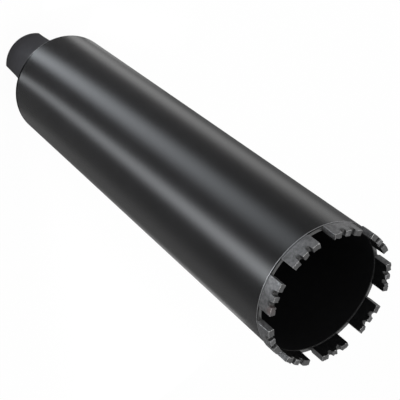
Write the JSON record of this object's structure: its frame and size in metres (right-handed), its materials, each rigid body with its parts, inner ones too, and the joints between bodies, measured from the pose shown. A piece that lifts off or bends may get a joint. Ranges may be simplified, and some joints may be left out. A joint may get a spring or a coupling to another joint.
{
  "type": "diamond core bit",
  "caption": "Wet diamond core bit: black steel barrel, notched segment crown round its open end, and a threaded hub with wrench flats behind.",
  "frame": {"origin": "centre of the hub's seating face, where the bit stands", "axes": "+Z along the bit's axis, from the hub to the cutting crown; the wrench flats face +X and -X"},
  "size_m": [0.1019, 0.102, 0.474],
  "materials": {
    "barrel_paint": "satin black powder coat",
    "plate_paint": "satin black powder coat",
    "hub_steel": "dark blacked steel, turned and milled",
    "segment_bond": "ground sintered metal with fine diamond grit"
  },
  "bodies": {
    "root": {"barrel": "barrel_paint", "back_plate": "plate_paint", "hub": "hub_steel", "segment_1": "segment_bond", "segment_2": "segment_bond", "segment_3": "segment_bond", "segment_4": "segment_bond", "segment_5": "segment_bond", "segment_6": "segment_bond", "segment_7": "segment_bond", "segment_8": "segment_bond", "segment_9": "segment_bond"}
  },
  "joints": []
}
